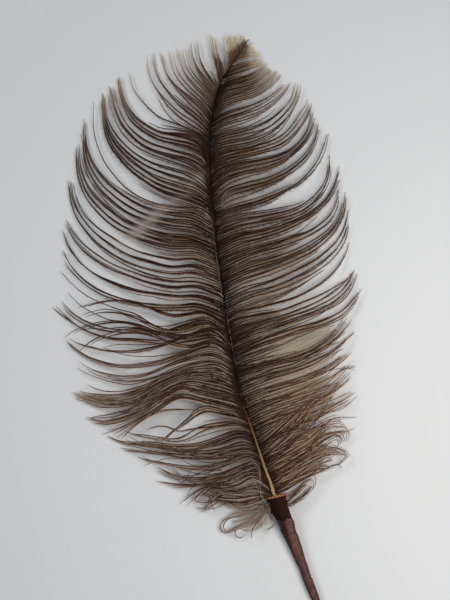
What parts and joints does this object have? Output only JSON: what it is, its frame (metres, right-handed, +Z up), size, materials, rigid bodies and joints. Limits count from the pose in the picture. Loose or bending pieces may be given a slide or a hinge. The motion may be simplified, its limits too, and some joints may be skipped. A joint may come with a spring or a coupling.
{
  "type": "ostrich feather",
  "caption": "Brown ostrich plume lying flat, its quill bound with a dark band and a spiral of satin ribbon.",
  "frame": {"origin": "under the middle of the whole object, on the surface it lies on", "axes": "+Y towards the plume's tip, +X to the right as seen from above, +Z up from the surface"},
  "size_m": [0.2668, 0.5506, 0.017],
  "materials": {
    "feather": "soft matte barbs, dark brown with paler tips",
    "band": "matte dark brown weave with a copper edge",
    "ribbon": "reddish-brown satin"
  },
  "bodies": {
    "root": {"plume": "feather", "collar_band": "band", "ribbon_wrap": "ribbon"}
  },
  "joints": []
}
